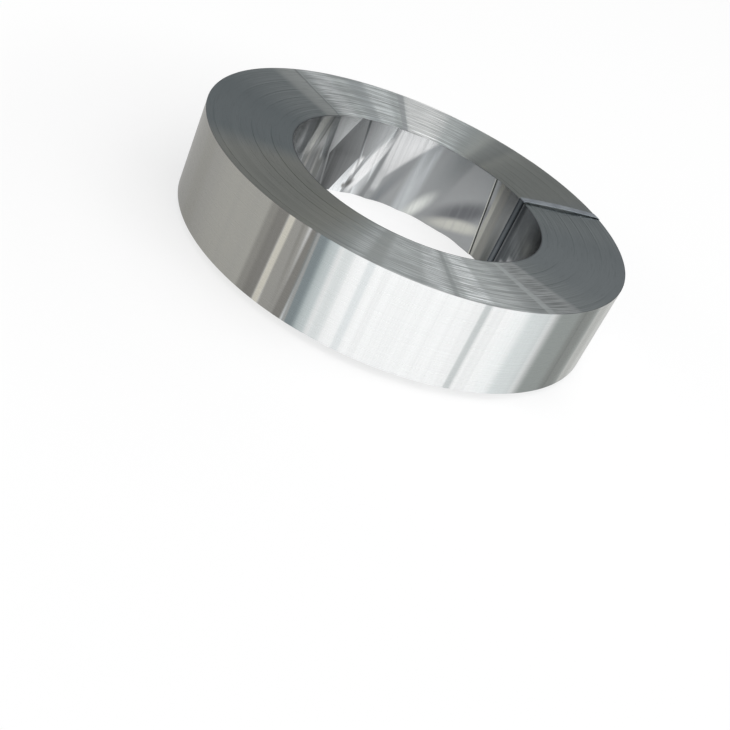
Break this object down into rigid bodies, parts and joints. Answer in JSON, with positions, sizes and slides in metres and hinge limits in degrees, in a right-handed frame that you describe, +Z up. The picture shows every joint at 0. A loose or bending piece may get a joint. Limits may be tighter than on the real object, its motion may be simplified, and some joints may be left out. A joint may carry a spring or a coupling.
{
  "type": "silicon steel strip coil",
  "caption": "Slit coil of thin bright silicon steel strip lying on its end, with a slightly dished face, a buckled innermost turn and a steel strap looped through its eye.",
  "frame": {"origin": "on the floor, on the coil's axis, below the centre of the bore", "axes": "+Z up along the coil's axis; +X to the right and +Y away from the viewer in the picture's view, where the strap lies at the back right"},
  "size_m": [0.8474, 0.847, 0.1889],
  "materials": {
    "strip_steel": "bright rolled, semi-mirror on the outer wall, dark grey slit edges on the ends",
    "strap_steel": "plain blue-grey strapping",
    "seal_steel": "plain, crimped"
  },
  "bodies": {
    "root": {"strip_coil": "strip_steel", "strap": "strap_steel", "strap_seal": "seal_steel"}
  },
  "joints": []
}
